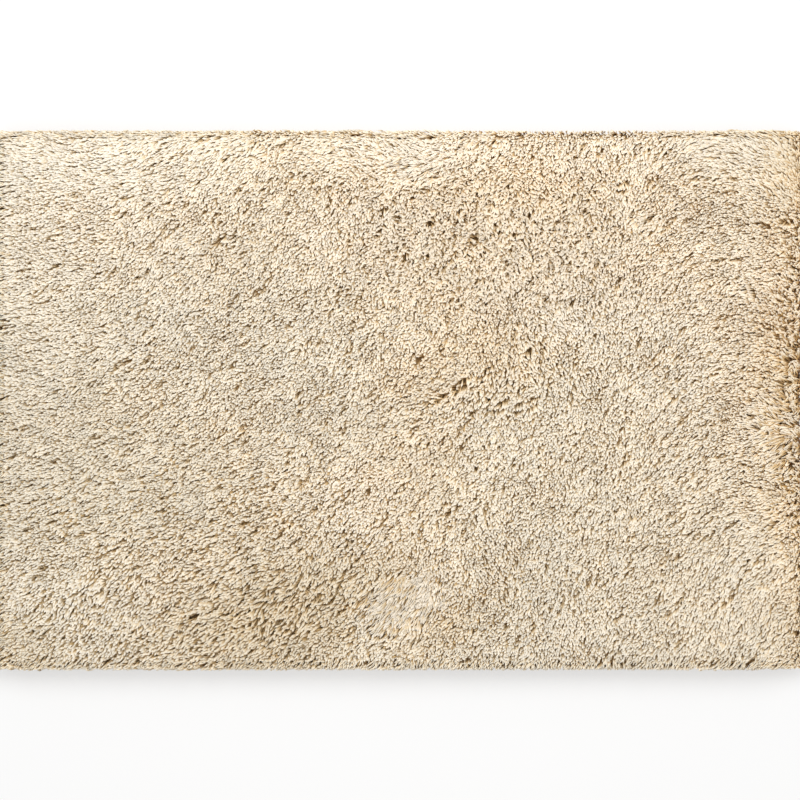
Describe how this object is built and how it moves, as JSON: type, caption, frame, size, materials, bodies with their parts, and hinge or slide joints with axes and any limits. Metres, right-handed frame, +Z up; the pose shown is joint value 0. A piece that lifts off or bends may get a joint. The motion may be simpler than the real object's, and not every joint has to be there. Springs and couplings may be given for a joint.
{
  "type": "wall-to-wall carpet",
  "caption": "Cut length of deep cream cut-pile wall-to-wall carpet, lying flat on its backing, with a soft uneven pile that leans, parts and splays.",
  "frame": {"origin": "middle of the underside of the backing, on the floor", "axes": "+X along the length, +Y along the width, +Z up out of the pile"},
  "size_m": [0.8, 0.533, 0.0339],
  "materials": {
    "cream_pile_yarn": "undyed cream carpet yarn, soft matt cut pile, paler at the tips and warm brown in its depth"
  },
  "bodies": {
    "root": {"carpet": "cream_pile_yarn"}
  },
  "joints": []
}
